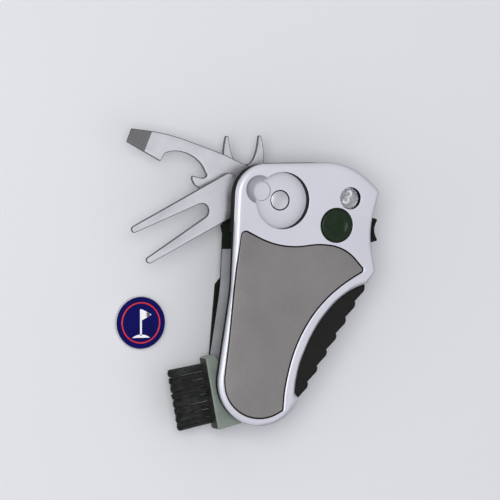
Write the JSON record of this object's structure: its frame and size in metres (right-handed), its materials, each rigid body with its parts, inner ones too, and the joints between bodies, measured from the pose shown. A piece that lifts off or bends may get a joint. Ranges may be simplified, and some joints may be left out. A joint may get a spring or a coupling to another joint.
{
  "type": "folding golf multi-tool with club groove brush",
  "caption": "Palm-size folding golf tool: case with fork, bottle opener, cleat wrench, groove brush, stroke counter, marker socket, rubber grip and belt clip.",
  "frame": {"origin": "on the belt clip's outer flat face (the rest face), under the middle of the case", "axes": "+Z out of the front face, +Y towards the stroke-counter end, +X towards the rubber grip side"},
  "size_m": [0.0964, 0.1095, 0.0224],
  "materials": {
    "silver_paint": "satin silver paint on ABS",
    "panel_grey": "fine-textured grey",
    "dark_plastic": "moulded, semi-gloss, dark green-black",
    "satin_steel": "satin stainless",
    "black_rubber": "matt moulded",
    "brush_green": "satin grey-green",
    "bristle_nylon": "nylon filament",
    "button_green": "gloss green",
    "numeral_grey": "printed",
    "lens_clear": "clear",
    "marker_enamel": "enamel on steel"
  },
  "bodies": {
    "case": {"front_shell": "silver_paint", "grey_panel": "panel_grey", "chassis_plate": "dark_plastic", "back_shell": "dark_plastic", "steel_liner": "satin_steel", "rubber_grip": "black_rubber", "belt_clip": "dark_plastic", "clip_screw_1": "satin_steel", "clip_screw_2": "satin_steel", "case_screw_1": "satin_steel", "case_screw_2": "satin_steel", "case_screw_3": "satin_steel", "case_screw_4": "satin_steel", "tool_pivot_pin": "satin_steel", "lower_spacer": "satin_steel", "upper_washer": "satin_steel", "brush_pivot_pin": "satin_steel", "brush_spacer": "satin_steel", "lever_pin": "satin_steel", "socket_magnet": "satin_steel", "window_lens": "lens_clear", "button_spring": "satin_steel"},
    "fork": {"groove_cleaner_fork": "satin_steel"},
    "opener": {"bottle_opener": "satin_steel"},
    "wrench": {"cleat_wrench": "satin_steel"},
    "lever": {"lock_lever": "dark_plastic"},
    "brush": {"brush_block": "brush_green", "bristle_pack": "bristle_nylon"},
    "button": {"counter_button": "button_green"},
    "counter_wheel": {"numeral_wheel": "numeral_grey"},
    "slider": {"reset_slider": "dark_plastic"},
    "marker": {"ball_marker": "marker_enamel"}
  },
  "joints": [
    {"name": "fork_fold", "type": "hinge", "parent": "case", "child": "fork", "pos_m": [-0.0126, 0.0335, 0.0143], "axis": [0, 0, 1], "range_deg": [-30, 64.9]},
    {"name": "opener_fold", "type": "hinge", "parent": "case", "child": "opener", "pos_m": [-0.0126, 0.0335, 0.0123], "axis": [0, 0, 1], "range_deg": [-50, 115]},
    {"name": "wrench_fold", "type": "hinge", "parent": "case", "child": "wrench", "pos_m": [-0.0126, 0.0335, 0.0094], "axis": [0, 0, 1], "range_deg": [0, 182]},
    {"name": "lever_press", "type": "hinge", "parent": "case", "child": "lever", "pos_m": [-0.012, 0.0165, 0.0081], "axis": [0, 0, 1], "range_deg": [-6, 6]},
    {"name": "brush_fold", "type": "hinge", "parent": "case", "child": "brush", "pos_m": [-0.0097, -0.0425, 0.012], "axis": [0, 0, -1], "range_deg": [0, 96]},
    {"name": "button_press", "type": "slide", "parent": "case", "child": "button", "axis": [0, 0, -1], "range_m": [0, 0.001], "stiffness_N_per_m": 400, "deforming": ["button_spring"]},
    {"name": "wheel_turn", "type": "hinge", "parent": "case", "child": "counter_wheel", "pos_m": [0.021, 0.0226, 0.0184], "axis": [0, 0, 1], "continuous": true},
    {"name": "slider_slide", "type": "slide", "parent": "case", "child": "slider", "axis": [0, 1, 0], "range_m": [-0.002, 0.002]},
    {"name": "marker_lift", "type": "slide", "parent": "case", "child": "marker", "axis": [0, 0, 1], "range_m": [0, 0.03]}
  ]
}
